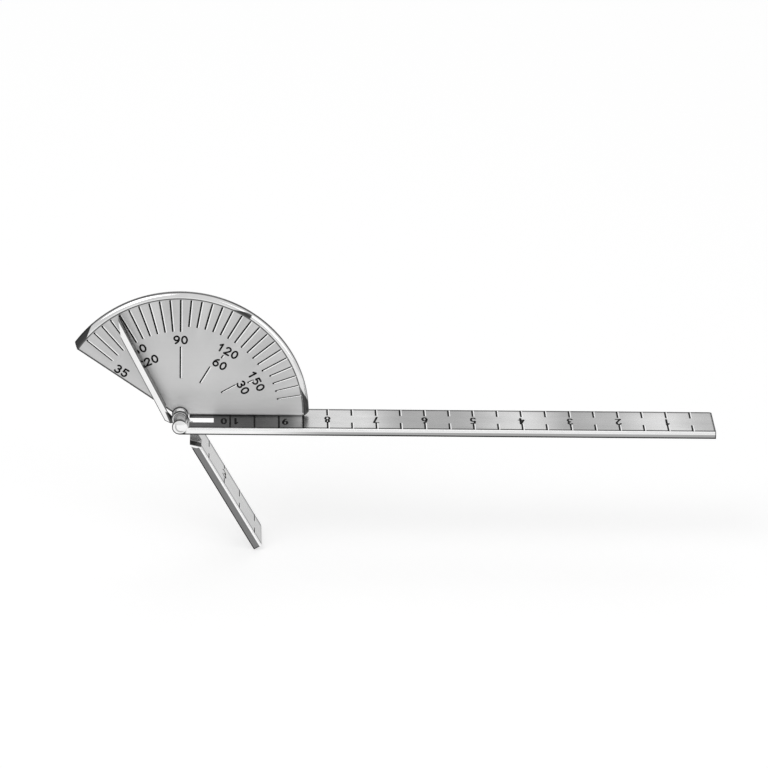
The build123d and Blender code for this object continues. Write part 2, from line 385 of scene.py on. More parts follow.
@dataclass(frozen=True)
class Stamp:
    """Cross-section of a stamped stroke in millimetres."""

    width: float
    proud: float = 0.012
    sink: float = 0.03

    def ribbon(self, path: np.ndarray) -> tuple[np.ndarray, np.ndarray, list[list[int]]]:
        """Carry the cross-section along a path.

        The section is a low crown with square sides. It is set square to the path at every point,
        and its width falls as a half circle over the last half width at each end.

        Args:
            path: points of the stroke in the sheet's plane, in mm.

        Returns:
            Flat places, heights and faces.
        """
        ahead = path[1] - path[0]
        behind = path[-2] - path[-1]
        ahead = ahead / np.linalg.norm(ahead)
        behind = behind / np.linalg.norm(behind)
        half = self.width / 2
        cap = np.sqrt(1 - CAP_REACH**2)
        start = path[0] - ahead * (CAP_REACH * half)[:, None]
        stop = path[-1] - behind * (CAP_REACH[::-1] * half)[:, None]
        spine = np.vstack([start, path, stop])
        share = np.concatenate([cap, np.ones(len(path)), cap[::-1]])
        slope = np.gradient(spine, axis=0)
        slope = slope / np.linalg.norm(slope, axis=1)[:, None]
        side = np.stack([-slope[:, 1], slope[:, 0]], axis=1)
        crown = 0.6 * half
        across = np.array([-half, -half, -crown, crown, half, half])
        shoulder = self.proud * 0.6
        height = np.array([-self.sink, shoulder, self.proud, self.proud, shoulder, -self.sink])
        flat = spine[:, None, :] + side[:, None, :] * (share[:, None] * across)[:, :, None]
        tall = np.broadcast_to(height, (len(spine), len(across)))
        count = len(across)
        row = np.arange(len(spine) - 1)[:, None] * count
        column = np.arange(count)
        after = (column + 1) % count
        ahead_row = row + count
        quads = np.stack([row + column, row + after, ahead_row + after, ahead_row + column], axis=2)
        faces = quads.reshape(-1, 4).tolist()
        last = (len(spine) - 1) * count
        faces.append(list(reversed(range(count))))
        faces.append([last + i for i in range(count)])
        return flat.reshape(-1, 2), tall.reshape(-1), faces


def arc(centre: Pair, radii: Pair, start: float, stop: float) -> np.ndarray:
    """Points on an ellipse between two angles: centre plus radii times cosine and sine.

    Args:
        centre: middle of the ellipse.
        radii: its half width and half height.
        start: first angle in degrees.
        stop: last angle in degrees.

    Returns:
        The points, one every fourteen degrees or so and five at least.
    """
    count = max(ARC_POINTS, int(abs(stop - start) / ARC_STEP))
    turn = np.radians(np.linspace(start, stop, count))
    return np.array(centre) + np.array(radii) * np.stack([np.cos(turn), np.sin(turn)], axis=1)


def line(*points: Pair) -> np.ndarray:
    """Points of a straight stroke."""
    return np.array(points, dtype=float)


def hooked(flip: bool) -> list[np.ndarray]:
    """Strokes of a six, or of a nine, which is the six turned half round."""
    bowl = arc((0.33, 0.30), (0.27, 0.28), 180.0, -180.0)
    back = arc((0.62, 0.32), (0.56, 0.66), 178.0, 108.0)
    if flip:
        return [np.array([0.66, 1.0]) - stroke for stroke in (bowl, back)]
    return [bowl, back]


# Strokes of the digits in a frame 0.66 wide and 1 tall, about the middle, spread over their pitch
DIGIT_MIDDLE = (0.33, 0.5)
DIGIT_SPREAD = 1.16
DIGITS: dict[str, list[np.ndarray]] = {
    "0": [arc((0.33, 0.5), (0.28, 0.46), 90.0, 450.0)],
    "1": [
        line((0.36, 0.97), (0.36, 0.5), (0.36, 0.02)),
        line((0.12, 0.72), (0.24, 0.84), (0.36, 0.97)),
    ],
    "2": [
        arc((0.32, 0.70), (0.26, 0.26), 165.0, -35.0),
        line((0.533, 0.551), (0.3, 0.28), (0.05, 0.03)),
        line((0.05, 0.03), (0.3, 0.03), (0.62, 0.03)),
    ],
    "3": [
        arc((0.31, 0.75), (0.24, 0.22), 150.0, -90.0),
        arc((0.31, 0.28), (0.28, 0.25), 90.0, -150.0),
    ],
    "4": [
        line((0.46, 0.98), (0.46, 0.5), (0.46, 0.02)),
        line((0.46, 0.98), (0.25, 0.63), (0.04, 0.30)),
        line((0.04, 0.30), (0.3, 0.30), (0.66, 0.30)),
    ],
    "5": [
        line((0.16, 0.96), (0.3, 0.96), (0.58, 0.96)),
        line((0.16, 0.96), (0.14, 0.8), (0.11, 0.56)),
        arc((0.31, 0.32), (0.28, 0.30), 128.0, -150.0),
    ],
    "6": hooked(False),
    "7": [
        line((0.04, 0.96), (0.3, 0.96), (0.62, 0.96)),
        line((0.62, 0.96), (0.42, 0.5), (0.22, 0.02)),
    ],
    "8": [
        arc((0.33, 0.745), (0.21, 0.215), 90.0, 450.0),
        arc((0.33, 0.27), (0.27, 0.25), 90.0, 450.0),
    ],
    "9": hooked(True),
}


@dataclass
class Marks:
    """Strokes gathered on one sheet until they become one piece."""

    name: str
    sheet: Sheet
    body: Body
    slot: Slot
    stamp: Stamp
    strokes: list[np.ndarray] = field(default_factory=list)

    def tick(self, start: Pair, stop: Pair) -> None:
        """Add a straight stroke with a point at its middle."""
        middle = (0.5 * (start[0] + stop[0]), 0.5 * (start[1] + stop[1]))
        self.strokes.append(line(start, middle, stop))

    def number(self, text: str, centre: Pair, size: Pair, turn: float) -> None:
        """Add digits.

        Args:
            text: the digits.
            centre: middle of the whole number.
            size: pitch from digit to digit, and height.
            turn: angle of the row in degrees.
        """
        pitch, tall = size
        across = np.array([math.cos(math.radians(turn)), math.sin(math.radians(turn))])
        up = np.array([-across[1], across[0]])
        for place, digit in enumerate(text):
            shift = (place - (len(text) - 1) / 2) * pitch
            for stroke in DIGITS[digit]:
                wide = (stroke[:, :1] - DIGIT_MIDDLE[0]) * across * pitch * DIGIT_SPREAD
                high = (stroke[:, 1:] - DIGIT_MIDDLE[1]) * up * tall
                self.strokes.append(np.array(centre) + shift * across + wide + high)

    def build(self, finish: bpy.types.Material) -> None:
        """Make the piece from its strokes and let it ride on its body."""
        points, faces, count = [], [], 0
        for stroke in self.strokes:
            flat, tall, ring = self.stamp.ribbon(stroke)
            points.append(self.sheet.lift(flat, tall))
            faces.extend([index + count for index in face] for face in ring)
            count += len(flat)
        piece = solid_piece(self.name, np.vstack(points), faces, finish)
        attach(piece, self.body.value)


def solid_piece(
    name: str, points: np.ndarray, faces: list[list[int]], finish: bpy.types.Material
) -> bpy.types.Object:
    """Make a mesh object at the origin, its faces turned outwards.

    Args:
        name: the object's name.
        points: vertices in metres.
        faces: indices of each face.
        finish: its material.

    Returns:
        The object.
    """
    mesh = bpy.data.meshes.new(name)
    mesh.from_pydata(points.tolist(), [], faces)
    shape = bmesh.new()
    shape.from_mesh(mesh)
    bmesh.ops.recalc_face_normals(shape, faces=shape.faces)
    shape.to_mesh(mesh)
    shape.free()
    mesh.materials.append(finish)
    mesh.update()
    piece = bpy.data.objects.new(name, mesh)
    bpy.context.scene.collection.objects.link(piece)
    LOG.info("%s: %d faces", name, len(mesh.polygons))
    return piece


@dataclass(frozen=True)
class Strokes:
    """Stroke widths in mm of a scale's ticks, of their lips painted bright as highlights and of its
    numbers.
    """

    tick: float
    lip: float
    number: float
    lip_proud: float = 0.02


@dataclass
class Scale:
    """The three pieces of a scale: painted ticks, a lip beside each painted bright as a highlight,
    and painted numbers.
    """

    ticks: Marks
    lips: Marks
    numbers: Marks

    @classmethod
    def on(cls, names: tuple[str, str, str], sheet: Sheet, body: Body, strokes: Strokes) -> "Scale":
        """Start an empty scale.

        Args:
            names: names of the ticks, the highlight lips and the numbers.
            sheet: the face that it lies on.
            body: the body that it rides on.
            strokes: its stroke widths.

        Returns:
            The scale.
        """
        return cls(
            Marks(names[0], sheet, body, Slot.PAINT, Stamp(strokes.tick)),
            Marks(names[1], sheet, body, Slot.STEEL, Stamp(strokes.lip, strokes.lip_proud)),
            Marks(names[2], sheet, body, Slot.PAINT, Stamp(strokes.number)),
        )

    def pair(self, start: Pair, stop: Pair, shift: Pair | None) -> None:
        """Add a tick and its lip.

        Args:
            start: one end of the tick.
            stop: its other end.
            shift: how far the lip stands from the tick, or None for no lip.
        """
        self.ticks.tick(start, stop)
        if shift is not None:
            ends = [(end[0] + shift[0], end[1] + shift[1]) for end in (start, stop)]
            self.lips.tick(*ends)

    def build(self, paint: bpy.types.Material, bright: bpy.types.Material) -> None:
        """Make the three pieces."""
        self.ticks.build(paint)
        self.lips.build(bright)
        self.numbers.build(paint)


# Sub-assemblies


@dataclass(frozen=True)
class Outline:
    """Painted shade along an edge, a dark line: where it starts, where it is full, and how much
    light it takes.
    """

    start: float
    full: float
    depth: float

    def on(self, place: Tone, edge: float = 0.0) -> Tone:
        """Factor at a place, with start and full measured from the edge, in mm."""
        return place.shade(edge + self.start, edge + self.full, self.depth)


@dataclass
class FixedBlade:
    """Long blade: steel of its top strip and flange, and the centimetre scale.

    The reflection bands are painted reflections, greys along the blade at shares of the band
    length. Distances on the scale are measured from its zero, which lies just past the blade's free
    end.
    """

    length: float = 110.0
    width: float = 11.5
    top: float = -0.2
    fold: float = 0.5
    band_length: float = 120.0
    bands: Stops = (
        (0.03, 0.1),
        (0.12, 0.075),
        (0.18, 0.16),
        (0.215, 0.58),
        (0.31, 0.64),
        (0.39, 0.33),
        (0.47, 0.35),
        (0.59, 0.66),
        (0.67, 0.36),
        (0.73, 0.42),
        (0.83, 0.68),
        (0.91, 0.46),
    )
    # painted shade: dark lines by the fold and along the strip's and flange's edges
    fold_line: Outline = Outline(1.2, 0.98, 0.92)
    back_line: Outline = Outline(-0.85, -0.5, 0.8)
    end_line: Outline = Outline(-0.5, -0.2, 0.9)
    # painted highlight: the flange is painted bright, and darker only on its lower half
    flange_tone: float = 0.93
    flange_bottom_line: Outline = Outline(-1.26, -1.38, 0.92)
    flange_end_line: Outline = Outline(-0.3, -0.12, 0.8)
    zero: float = 110.28
    half_pitch: float = 5.0
    last_half: int = 20
    first_long_half: int = 17
    first_covered_half: int = 18
    front_tick: float = 3.8
    longer: float = 3.4
    back_tick: float = 3.5
    front_margin: float = 0.15
    back_margin: float = 0.35
    lip_shift: Pair = (-0.3, 0.0)
    strokes: Strokes = Strokes(tick=0.36, lip=0.2, number=0.46)
    digit: Pair = (1.35, 3.2)
    digit_row: float = 5.5
    last_whole: int = 8
    shaded_row: float = 4.2
    shaded_digits: tuple[tuple[str, float], ...] = (("9", 88.7), ("1", 98.85), ("0", 101.3))

    def sheet(self) -> Sheet:
        """Top face, read from the back: its rows run towards -X."""
        return Sheet((0.0, 0.0, self.top), (-1.0, 0.0, 0.0), (0.0, -1.0, 0.0), (0.0, 0.0, 1.0))

    def steel(self) -> bpy.types.Material:
        """Top strip with slow bands of grey painted along it as reflections, and a flange whose
        upper half is painted bright as the fold's highlight; dark lines along the edges and round
        the eye are painted shade.
        """
        graph = Graph("fixed_blade_steel")
        x, y, z = graph.axes()
        # painted reflection: slow bands of grey along the top strip
        bands = graph.ramp(x * (1.0 / self.band_length), self.bands)
        cloud = graph.noise(graph.place(0.0, (1.0, 2.0, 2.0)), 110.0, 3.0)
        # painted shade: dark lines by the fold, along the back edge and at the free end
        strip = bands * (0.85 + 0.3 * cloud) * self.fold_line.on(y)
        strip = strip * self.back_line.on(y, self.width) * self.end_line.on(x, self.length)
        # painted highlight and reflection: the flange's upper half stays bright by the fold, its
        # lower half is painted darker with streaks
        streaks = graph.noise(graph.place(0.0, (14.0, 1.0, 3200.0)), 1.0, 3.0, 0.6)
        shaded_lower_half = z.step(-0.62, -0.85) * x.step(14.0, 32.0)
        flange = self.flange_tone - shaded_lower_half * (0.56 + 0.6 * (streaks - 0.5))
        flange = flange * self.flange_bottom_line.on(z) * self.flange_end_line.on(x, self.length)
        reach = (x * x + z * z).root()
        # painted shade: a dark ring round the eye at the pivot
        eye_edge_shade = reach.step(1.34, 1.44) * x.step(1.5, 0.9)
        flange = flange * (1.0 - 0.9 * eye_edge_shade)
        front = y.step(self.fold - 0.04, self.fold - 0.1)
        return SteelFinish(roughness=0.27).dress(graph, graph.blend(front, strip, flange))

    def marks(self, paint: bpy.types.Material, bright: bpy.types.Material) -> None:
        """Stamp the centimetre scale: ticks at both edges every half, numbers at every whole."""
        names = ("ruler_ticks", "ruler_tick_highlights", "ruler_numbers")
        scale = Scale.on(names, self.sheet(), Body.FIXED, self.strokes)
        front, back = self.fold + self.front_margin, self.width - self.back_margin
        for half in range(1, self.last_half + 1):
            place = half * self.half_pitch - self.zero
            short = half < self.first_long_half
            shift = self.lip_shift if short else None
            reach = self.front_tick if short else self.front_tick + self.longer
            scale.pair((place, -front), (place, -reach), shift)
            if half < self.first_covered_half:
                scale.pair((place, self.back_tick - self.width), (place, -back), shift)
        for whole in range(1, self.last_whole + 1):
            place = whole * 2.0 * self.half_pitch - self.zero
            scale.numbers.number(str(whole), (place, -self.digit_row), self.digit, 0.0)
        for digit, distance in self.shaded_digits:
            place = distance - self.zero
            scale.numbers.number(digit, (place, -self.shaded_row), self.digit, 0.0)
        scale.build(paint, bright)


@dataclass
class Protractor:
    """Sector plate: satin face, polished rolled rim, and the degree scale.

    The angles are the first tick's, a stop past the last one's and the pitch, in degrees. A leader
    is its outer radius, inner radius and angle. A label is its text, radius, angle and its row's
    turn.
    """

    front: float = 7.4
    radius: float = 25.4
    rim: float = 1.1
    left_angle: float = 145.0
    left_margin: float = 0.6
    face_tone: float = 0.63
    foot_glow: float = 0.32
    left_line: Outline = Outline(0.42, 0.22, 0.85)
    inside_rim_line: Outline = Outline(-0.34, -0.2, 0.8)
    outside_rim_line: Outline = Outline(-0.22, -0.12, 0.85)
    outer: float = 24.9
    inner: float = 19.4
    angles: Triple = (10.0, 140.1, 5.0)
    short_below: float = 28.0
    shorter: float = 0.9
    long_from: float = 88.0
    longer: float = 1.1
    longest_at: tuple[int, ...] = (90, 120)
    longest: float = 1.2
    tick_shift: Pair = (0.28, -0.03)
    leader_shift: Pair = (0.22, -0.03)
    strokes: Strokes = Strokes(tick=0.36, lip=0.18, number=0.38)
    leaders: tuple[Triple, ...] = (
        (14.7, 8.05, 90.0),
        (12.0, 8.1, 60.0),
        (13.0, 9.8, 30.0),
        (15.6, 15.1, 56.0),
        (16.5, 15.6, 27.0),
    )
    digit: Pair = (1.6, 1.65)
    labels: tuple[tuple[str, float, float, float], ...] = (
        ("90", 16.3, 90.0, 0.0),
        ("120", 17.0, 55.2, -30.0),
        ("60", 13.7, 54.0, -30.0),
        ("150", 17.3, 25.4, -60.0),
        ("30", 14.2, 25.0, -60.0),
        ("60", 16.4, 120.9, 26.0),
        ("120", 13.3, 120.4, 24.0),
        ("35", 15.3, 142.0, -32.0),
    )

    def sheet(self) -> Sheet:
        """Front face, read from the front."""
        return Sheet((0.0, self.front, 0.0), (1.0, 0.0, 0.0), (0.0, 0.0, 1.0), (0.0, -1.0, 0.0))

    @staticmethod
    def polar(radius: float, angle: float) -> Pair:
        """Place on the plate at a radius and an angle of the scale."""
        turn = math.radians(angle)
        return (radius * math.cos(turn), radius * math.sin(turn))

    def steel(self) -> bpy.types.Material:
        """Satin face with slow clouds and rays painted as reflections, and a rim with dark streaks
        painted as reflections at three places; the face also has painted shade by its edges and
        painted light at its foot.
        """
        graph = Graph("protractor_steel")
        x, y, z = graph.axes()
        reach = (x * x + z * z).root()
        angle = z.turn_to(x)
        cloud = graph.noise(graph.place(), 85.0, 3.0)
        # painted reflection: rays of lighter and darker grey round the scale band
        rays = graph.noise(graph.node("ShaderNodeCombineXYZ", None, {0: angle * 0.11}), 1.0, 2.0)
        near_rim = reach.step(14.0, 23.0)
        face = self.face_tone + 0.16 * (cloud - 0.5) + near_rim * (0.34 * (rays - 0.5) - 0.04)
        # painted light: the plate is painted lighter towards its foot
        low = z.step(5.0, 1.5)
        face = face + self.foot_glow * low
        # painted shade: dark lines along the left edge and inside the rim
        face = face * self.left_line.on(self.left_edge(x, z))
        face = face * self.inside_rim_line.on(reach, self.radius)
        # painted highlight: a bright line along the fold at the plate's foot
        bottom_fold_highlight = z.between(0.12, 0.5, 0.06) * x.step(1.0, 2.2)
        face = graph.blend(bottom_fold_highlight, face, 0.95)
        on_rim = reach.step(self.radius - 0.06, self.radius + 0.02)
        tone = graph.blend(on_rim, face, self.rim_tone(graph, reach, angle))
        return SteelFinish(roughness=0.4).dress(graph, tone, on_rim, 0.9 - 0.65 * low)

    def left_edge(self, x: Tone, z: Tone) -> Tone:
        """Distance in mm of a point from the plate's slanted left edge."""
        turn = math.radians(self.left_angle)
        return x * math.sin(turn) - z * math.cos(turn) + self.left_margin

    def rim_tone(self, graph: Graph, reach: Tone, angle: Tone) -> Tone:
        """Bright rim with dark streaks painted as reflections; each streak grows from a point to
        the rim's width, then ends. A dark line painted as shade runs along its outer edge.
        """
        roll = (reach - self.radius) / self.rim
        ripple = graph.noise(graph.node("ShaderNodeCombineXYZ", None, {0: angle * 0.05}), 1.0, 3.0)
        bright = 0.8 + 0.4 * (ripple - 0.5)
        # painted reflection: dark streaks at the right, the top and the left of the rim
        right = (angle.step(16.0, 2.0) * 1.3 - roll).step(0.0, 0.12) * roll.step(0.0, 0.0001)
        upper = (angle.step(67.0, 57.0) * 0.75 - roll).step(0.0, 0.12)
        upper = upper * angle.between(56.0, 66.0, 0.4)
        left = (angle.step(131.0, 142.0) * 1.3 - (1.0 - roll)).step(0.0, 0.12)
        left = left * angle.step(131.0, 132.5)
        dark = right.top(upper).top(left)
        edge = self.outside_rim_line.on(reach, self.radius + self.rim)
        return bright * (1.0 - 0.93 * dark) * edge

    def tick_foot(self, angle: float) -> float:
        """Inner radius of a tick: short at the right, longer at the left, longest at 90 and 120."""
        if round(angle) in self.longest_at:
            return self.inner - self.longest
        if angle < self.short_below:
            return self.inner + self.shorter
        return self.inner if angle < self.long_from else self.inner - self.longer

    def marks(self, paint: bpy.types.Material, bright: bpy.types.Material) -> None:
        """Stamp the degree scale, its two rows of numbers and its leader lines."""
        names = ("degree_ticks", "degree_tick_highlights", "degree_numbers")
        scale = Scale.on(names, self.sheet(), Body.FIXED, self.strokes)
        for angle in np.arange(*self.angles):
            foot, top = self.polar(self.tick_foot(angle), angle), self.polar(self.outer, angle)
            scale.pair(foot, top, self.tick_shift)
        for outer, inner, angle in self.leaders:
            scale.pair(self.polar(outer, angle), self.polar(inner, angle), self.leader_shift)
        for text, radius, angle, turn in self.labels:
            scale.numbers.number(text, self.polar(radius, angle), self.digit, turn)
        scale.build(paint, bright)


@dataclass
class MovingBlade:
    """Short blade: steel of its face and flange, its quarter-inch marks, and the step at its neck.

    The step is given as the corners of its outline, each a distance along the blade and one towards
    its outer face.
    """

    angle: float = -60.0
    face: float = 1.55
    length: float = 31.3
    width: float = 11.5
    front: float = 0.6
    face_tone: float = 0.51
    # painted shade: the flange is painted darker than the face
    flange_tone: float = 0.21
    fold_tone: float = 0.95
    back_line: Outline = Outline(-1.3, -1.0, 0.8)
    end_line: Outline = Outline(-0.32, -0.14, 0.75)
    flange_inner_line: Outline = Outline(0.02, -0.1, 0.85)
    flange_end_line: Outline = Outline(-0.3, -0.12, 0.7)
    first: float = 9.35
    pitch: float = 6.35
    pairs: int = 4
    number_pair: int = 1
    front_tick: Pair = (0.8, 3.3)
    back_tick: float = 3.6
    number_tick: float = 2.0
    back_margin: float = 0.4
    lip_shift: Pair = (0.24, 0.0)
    strokes: Strokes = Strokes(tick=0.36, lip=0.14, number=0.42)
    digit: Pair = (1.9, 3.4)
    digit_row: float = 6.6
    step: tuple[Pair, ...] = ((4.5, -0.245), (5.7, -0.245), (6.75, 1.3), (6.16, 1.5))
    step_depths: Pair = (0.62, 4.84)
    step_bevel: float = 0.06

    def sheet(self) -> Sheet:
        """Outer face: rows run along the blade, and up is away from the reader."""
        turn = math.radians(self.angle)
        out = (-math.sin(turn), 0.0, math.cos(turn))
        origin = (out[0] * self.face, 0.0, out[2] * self.face)
        return Sheet(origin, (math.cos(turn), 0.0, math.sin(turn)), (0.0, 1.0, 0.0), out)

    def steel(self) -> bpy.types.Material:
        """Light face, fold painted white as a highlight and flange painted darker as shade, in the
        blade's own directions; dark lines along its edges and behind the fold are painted shade.
        """
        graph = Graph("moving_blade_steel")
        s, y, n = graph.axes(self.angle)
        cloud = graph.noise(graph.place(), 120.0, 3.0)
        face = self.face_tone + 0.2 * (cloud - 0.5)
        # painted shade: dark lines along the back edge and the free end, and behind the fold
        face = face * self.back_line.on(y, self.width) * self.end_line.on(s, self.length)
        face = face * (1.0 - 0.8 * y.between(self.front + 0.5, self.front + 1.35, 0.15))
        # painted shade: the flange is darker than the face, with dark lines along its inner side
        # and end
        flange = self.flange_tone + 0.06 * (cloud - 0.5)
        flange = flange * self.flange_inner_line.on(n) * self.flange_end_line.on(s, self.length)
        # painted highlight: the fold is painted white
        top = n.step(self.face - 0.5, self.face - 0.4)
        fold = top * y.step(self.front + 0.5, self.front + 0.44)
        tone = graph.blend(y.step(self.front + 0.1, self.front + 0.04), face, flange)
        tone = graph.blend(fold, tone, self.fold_tone)
        return SteelFinish(roughness=0.27, grain_turn=self.angle).dress(graph, tone)

    def marks(self, paint: bpy.types.Material, bright: bpy.types.Material) -> None:
        """Stamp the pairs of edge ticks, and the number at the second pair."""
        names = ("short_blade_ticks", "short_blade_tick_highlights", "short_blade_number")
        scale = Scale.on(names, self.sheet(), Body.MOVING, self.strokes)
        near, far = (self.front + end for end in self.front_tick)
        for number in range(self.pairs):
            along = self.first + number * self.pitch
            reach = self.number_tick if number == self.number_pair else self.back_tick
            back = self.width - self.back_margin
            scale.pair((along, near), (along, far), self.lip_shift)
            scale.pair((along, self.width - reach), (along, back), self.lip_shift)
        place = (self.first + self.number_pair * self.pitch, self.digit_row)
        scale.numbers.number("3", place, self.digit, 0.0)
        scale.build(paint, bright)

    def step_steel(self) -> bpy.types.Material:
        """Steel of the step: riser painted near black as shade with a painted highlight across it,
        and a front border painted bright as the fold's highlight.
        """
        graph = Graph("short_blade_step_steel")
        s, y, n = graph.axes(self.angle)
        (foot_s, foot_n), (top_s, top_n) = self.step[0], self.step[-1]
        run, rise = top_s - foot_s, top_n - foot_n
        slant = math.hypot(run, rise)
        inward = (s - foot_s) * (rise / slant) - (n - foot_n) * (run / slant)
        # painted shade and highlight: the riser is near black, with a bright line across it
        riser = 0.012 + 0.85 * y.between(3.15, 3.6, 0.1) + 0.4 * y.step(3.6, 3.9)
        front = graph.blend(inward.step(0.48, 0.34), self.flange_tone, self.fold_tone)
        tone = graph.blend(y.step(self.front + 0.3, self.front + 0.1), riser, front)
        behind = inward.step(0.1, 0.2) * y.step(self.front + 0.3, self.front + 0.6)
        tone = graph.blend(behind, tone, 0.4)
        return SteelFinish(roughness=0.27, grain_turn=self.angle).dress(graph, tone)

    def build_step(self) -> None:
        """Add the riser that joins the front flange to the neck behind it.

        It is a prism: the step's outline in the blade's own directions, carried from just behind
        the flange's front face to the neck's front face.
        """
        corners = np.array(self.step)
        count = len(corners)
        depths = np.repeat(self.step_depths, count)
        flat = np.column_stack([np.tile(corners[:, 0], 2), depths])
        tall = np.tile(corners[:, 1] - self.face, 2)
        ring = range(count)
        faces = [list(ring), [count + i for i in reversed(ring)]]
        faces += [[i, count + i, count + (i + 1) % count, (i + 1) % count] for i in ring]
        points = self.sheet().lift(flat, tall)
        piece = solid_piece("short_blade_step", points, faces, self.step_steel())
        edges = piece.modifiers.new("edges", "BEVEL")
        edges.width = self.step_bevel * MM
        edges.segments = 2
        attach(piece, Body.MOVING.value)


@dataclass
class Pointer:
    """Pointer: bright face and a folded-back wall painted dark as shade.

    Tip and root are points of its lower edge, along the pointer and across it. Each root line is a
    point and a direction across the line, along which a distance from the line is measured.
    """

    angle: float = 120.0
    front: float = 4.4
    width: float = 1.35
    tip: Pair = (25.2, 0.1)
    root: Pair = (2.6, 1.42)
    heel: tuple[Pair, Pair] = ((0.2, 2.1), (0.551, -0.835))
    foot: tuple[Pair, Pair] = ((0.2, 2.1), (0.982, -0.187))
    wedge_upper: tuple[Pair, Pair] = ((3.08, 1.82), (-0.601, 0.799))
    wedge_outer: tuple[Pair, Pair] = ((0.15, 2.26), (-0.1485, -0.989))
    upper_line: Outline = Outline(-0.2, -0.1, 0.85)
    lower_line: Outline = Outline(0.2, 0.1, 0.85)

    @staticmethod
    def past(edge: tuple[Pair, Pair], s: Tone, n: Tone) -> Tone:
        """Distance in mm past a line: the offset from its point, times its direction across."""
        (point_s, point_n), (across_s, across_n) = edge
        return (s - point_s) * across_s + (n - point_n) * across_n

    def steel(self) -> bpy.types.Material:
        """Bright face with a dark line painted as shade along each edge, a painted dark wedge and
        dark rings at its root; the wall behind its read edge is painted darker as shade.
        """
        graph = Graph("pointer_steel")
        s, y, n = graph.axes(self.angle)
        cloud = graph.noise(graph.place(), 160.0, 3.0)
        lean = math.atan2(self.root[1] - self.tip[1], self.tip[0] - self.root[0])
        side = (n - self.tip[1]) * math.cos(lean) + (s - self.tip[0]) * math.sin(lean)
        reach = (s * s + n * n).root()
        face = 0.9 + 0.14 * (cloud - 0.5)
        # painted shade: dark lines along the pointer's edges, heel and foot
        face = face * self.upper_line.on(side, self.width) * self.lower_line.on(side)
        face = face * self.lower_line.on(self.past(self.heel, s, n))
        face = face * self.lower_line.on(self.past(self.foot, s, n))
        # painted shade: a dark wedge between the pointer's root and the pivot
        upper, outer = self.past(self.wedge_upper, s, n), self.past(self.wedge_outer, s, n)
        shaded_wedge = upper.step(-0.05, 0.1) * outer.step(-0.05, 0.1)
        face = face * (1.0 - 0.9 * shaded_wedge)
        # painted shade: dark rings round the eye, the inner one by the sleeve
        ring = reach.step(1.5, 1.6) + reach.step(1.42, 1.34)
        face = graph.blend(reach.step(1.8, 1.72), face, 0.85 - 0.75 * ring.low(1.0))
        # painted shade: the folded-back wall is near black, with a lighter line along it
        wall = 0.03 + 0.14 * y.between(5.5, 6.0, 0.15)
        tone = graph.blend(y.step(self.front + 0.08, self.front + 0.2), face, wall)
        return SteelFinish(roughness=0.22, grain_turn=self.angle).dress(graph, tone)


@dataclass(frozen=True)
class TurnedPiece:
    """A small turned piece on the pivot axis or in the plate's foot.

    Its steel has fine rings about the axis and darkens towards a soft crescent of painted shade by
    the share named crescent. Past the radius named border its edge is painted dark as shade; 0
    means no border.
    """

    node: str
    name: str
    tone: float
    roughness: float
    crescent: float
    border: float = 0.0

    def steel(self) -> bpy.types.Material:
        """Make its material."""
        graph = Graph(self.name)
        x, _, z = graph.axes()
        reach = (x * x + z * z).root()
        offset = ((x - 0.25) * (x - 0.25) + (z - 0.2) * (z - 0.2)).root()
        # painted shade: the piece darkens towards a soft crescent
        crescent = offset.between(0.95, 1.25, 0.15) * (x + z).step(0.4, -0.6)
        rings = graph.noise(graph.node("ShaderNodeCombineXYZ", None, {0: reach * 9.0}), 1.0, 2.0)
        grey = self.tone * (1.0 - self.crescent * crescent) * (0.9 + 0.2 * rings)
        # painted shade: a dark line along the piece's edge
        if self.border > 0.0:
            grey = grey * reach.shade(self.border - 0.1, self.border, 0.9)
        finish = SteelFinish(self.roughness, grain_length=600.0, grain_width=600.0)
        return finish.dress(graph, grey)


TURNED_PIECES = (
    TurnedPiece("pivot_rivet", "rivet_steel", 0.92, 0.15, 0.55),
    TurnedPiece("front_sleeve", "sleeve_steel", 0.6, 0.3, 0.0),
    TurnedPiece("plate_collar", "collar_steel", 1.0, 0.2, 0.0, 1.58),
    TurnedPiece("rear_burr", "burr_steel", 0.7, 0.25, 0.2),
    TurnedPiece("spring_washer", "spring_steel", 0.35, 0.3, 0.2),
    TurnedPiece("foot_rivets", "foot_rivet_steel", 0.75, 0.22, 0.1),
)


# Studio


@dataclass(frozen=True)
class Lamp:
    """A soft square lamp: its place and side in metres, and its power in watts."""

    name: str
    place: Triple
    side: float
    power: float

    def hang(self, target: Triple) -> None:
        """Add the lamp, turned towards a target in metres."""
        data = bpy.data.lights.new(self.name, "AREA")
        data.shape = "SQUARE"
        data.size = self.side
        data.energy = self.power
        lamp = bpy.data.objects.new(self.name, data)
        lamp.location = self.place
        lamp.rotation_mode = "QUATERNION"
        towards = Vector(target) - Vector(self.place)
        lamp.rotation_quaternion = towards.to_track_quat("-Z", "Y")
        bpy.context.scene.collection.objects.link(lamp)


